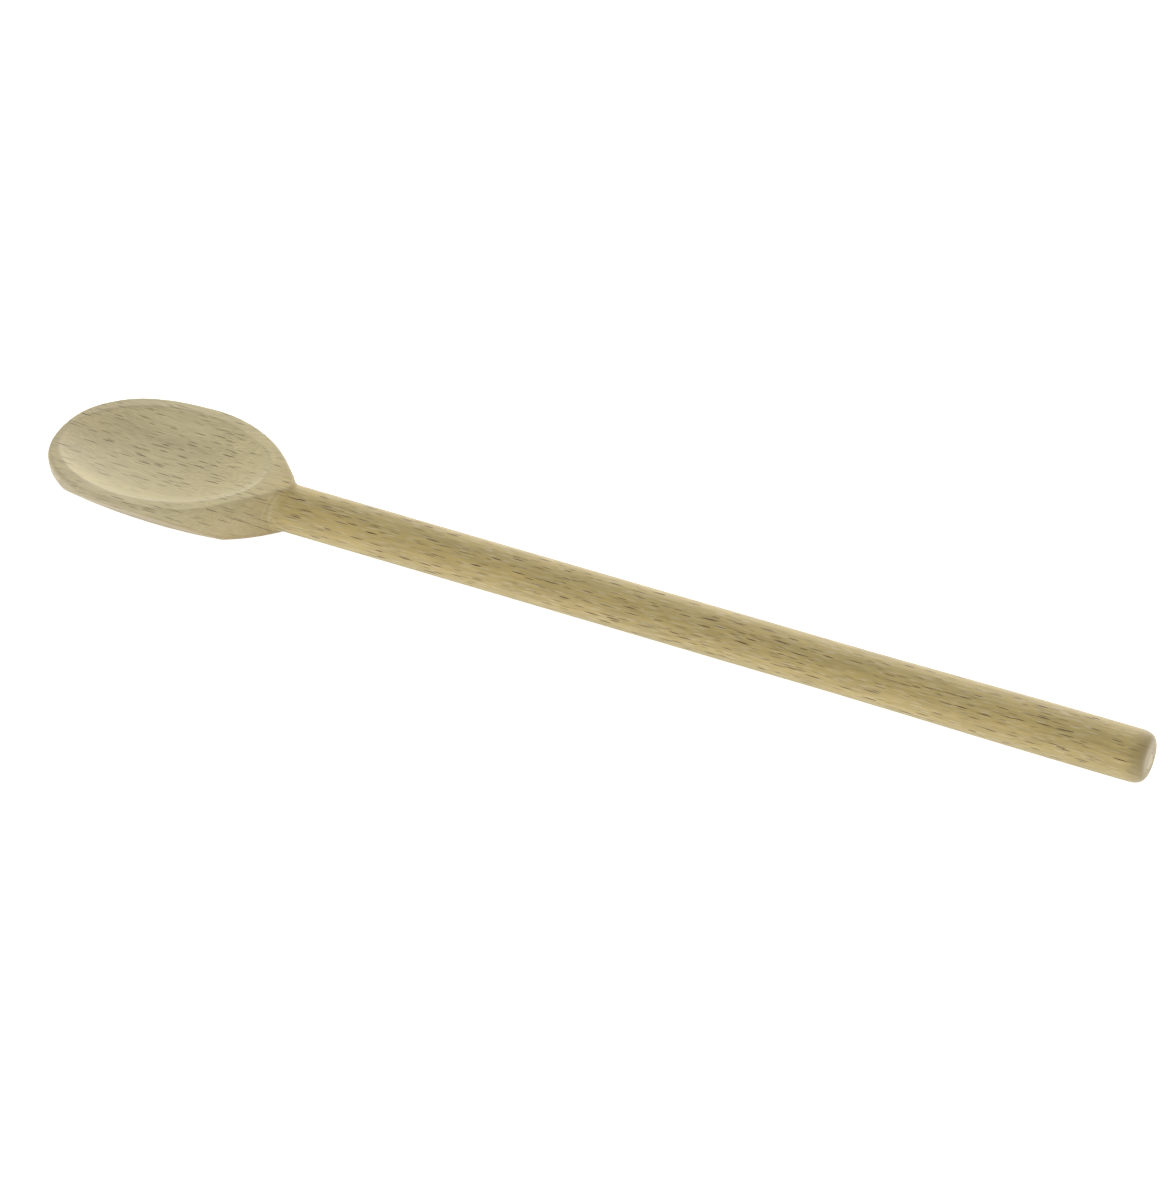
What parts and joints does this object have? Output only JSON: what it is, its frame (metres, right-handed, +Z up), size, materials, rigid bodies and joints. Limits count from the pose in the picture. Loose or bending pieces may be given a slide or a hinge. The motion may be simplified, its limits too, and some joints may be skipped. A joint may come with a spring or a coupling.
{
  "type": "wooden spoon",
  "caption": "Plain wooden kitchen spoon: an oval bowl with a flat land round a shallow hollow, leaning flanks and a short neck, on a long round handle that swells towards its rounded butt.",
  "frame": {"origin": "under the middle of the spoon's length and width, on the plane that its belly and butt rest on", "axes": "+X along the spoon from the bowl's tip to the handle's butt, +Z up, out of the hollow, and +Y to the left seen from the butt"},
  "size_m": [0.3, 0.0458, 0.0142],
  "materials": {
    "beech": "sanded, unvarnished"
  },
  "bodies": {
    "root": {"wooden_spoon": "beech"}
  },
  "joints": []
}
